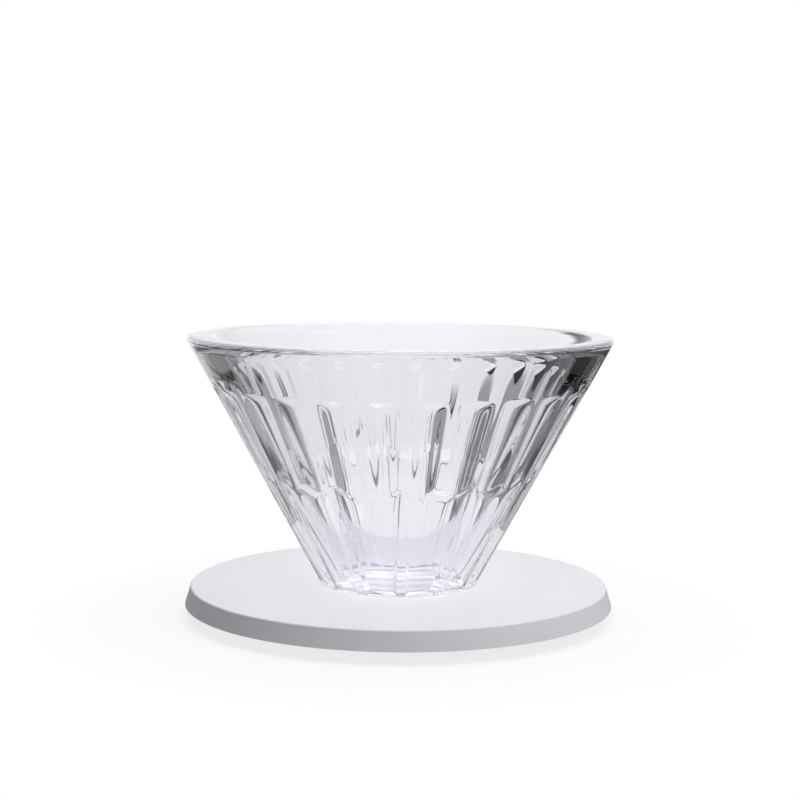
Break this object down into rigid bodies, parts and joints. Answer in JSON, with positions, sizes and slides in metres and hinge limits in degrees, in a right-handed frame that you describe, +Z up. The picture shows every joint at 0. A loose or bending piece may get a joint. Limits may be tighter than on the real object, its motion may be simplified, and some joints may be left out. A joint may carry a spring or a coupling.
{
  "type": "pour over dripper",
  "caption": "Pressed glass coffee cone with flutes and flat panels outside, gripped by a silicone sleeve in a flat white plastic holder that stands on a cup; the cone lifts out.",
  "frame": {"origin": "on the cone's axis, in the plane of the hub's foot, on which the dripper stands", "axes": "+Z up along the cone's axis, -Y towards the front, where a long ridge is centred"},
  "size_m": [0.1054, 0.1054, 0.0691],
  "materials": {
    "clear_glass": "fire polished, clear",
    "white_plastic": "fine satin mould texture",
    "silicone": "matt, slightly translucent"
  },
  "bodies": {
    "holder": {"holder_plate": "white_plastic"},
    "sleeve": {"seat_sleeve": "silicone"},
    "cone": {"glass_cone": "clear_glass"}
  },
  "joints": [
    {"name": "sleeve_lift", "type": "slide", "parent": "holder", "child": "sleeve", "axis": [0, 0, 1], "range_m": [0, 0.04]},
    {"name": "cone_lift", "type": "slide", "parent": "sleeve", "child": "cone", "axis": [0, 0, 1], "range_m": [0, 0.06]}
  ]
}
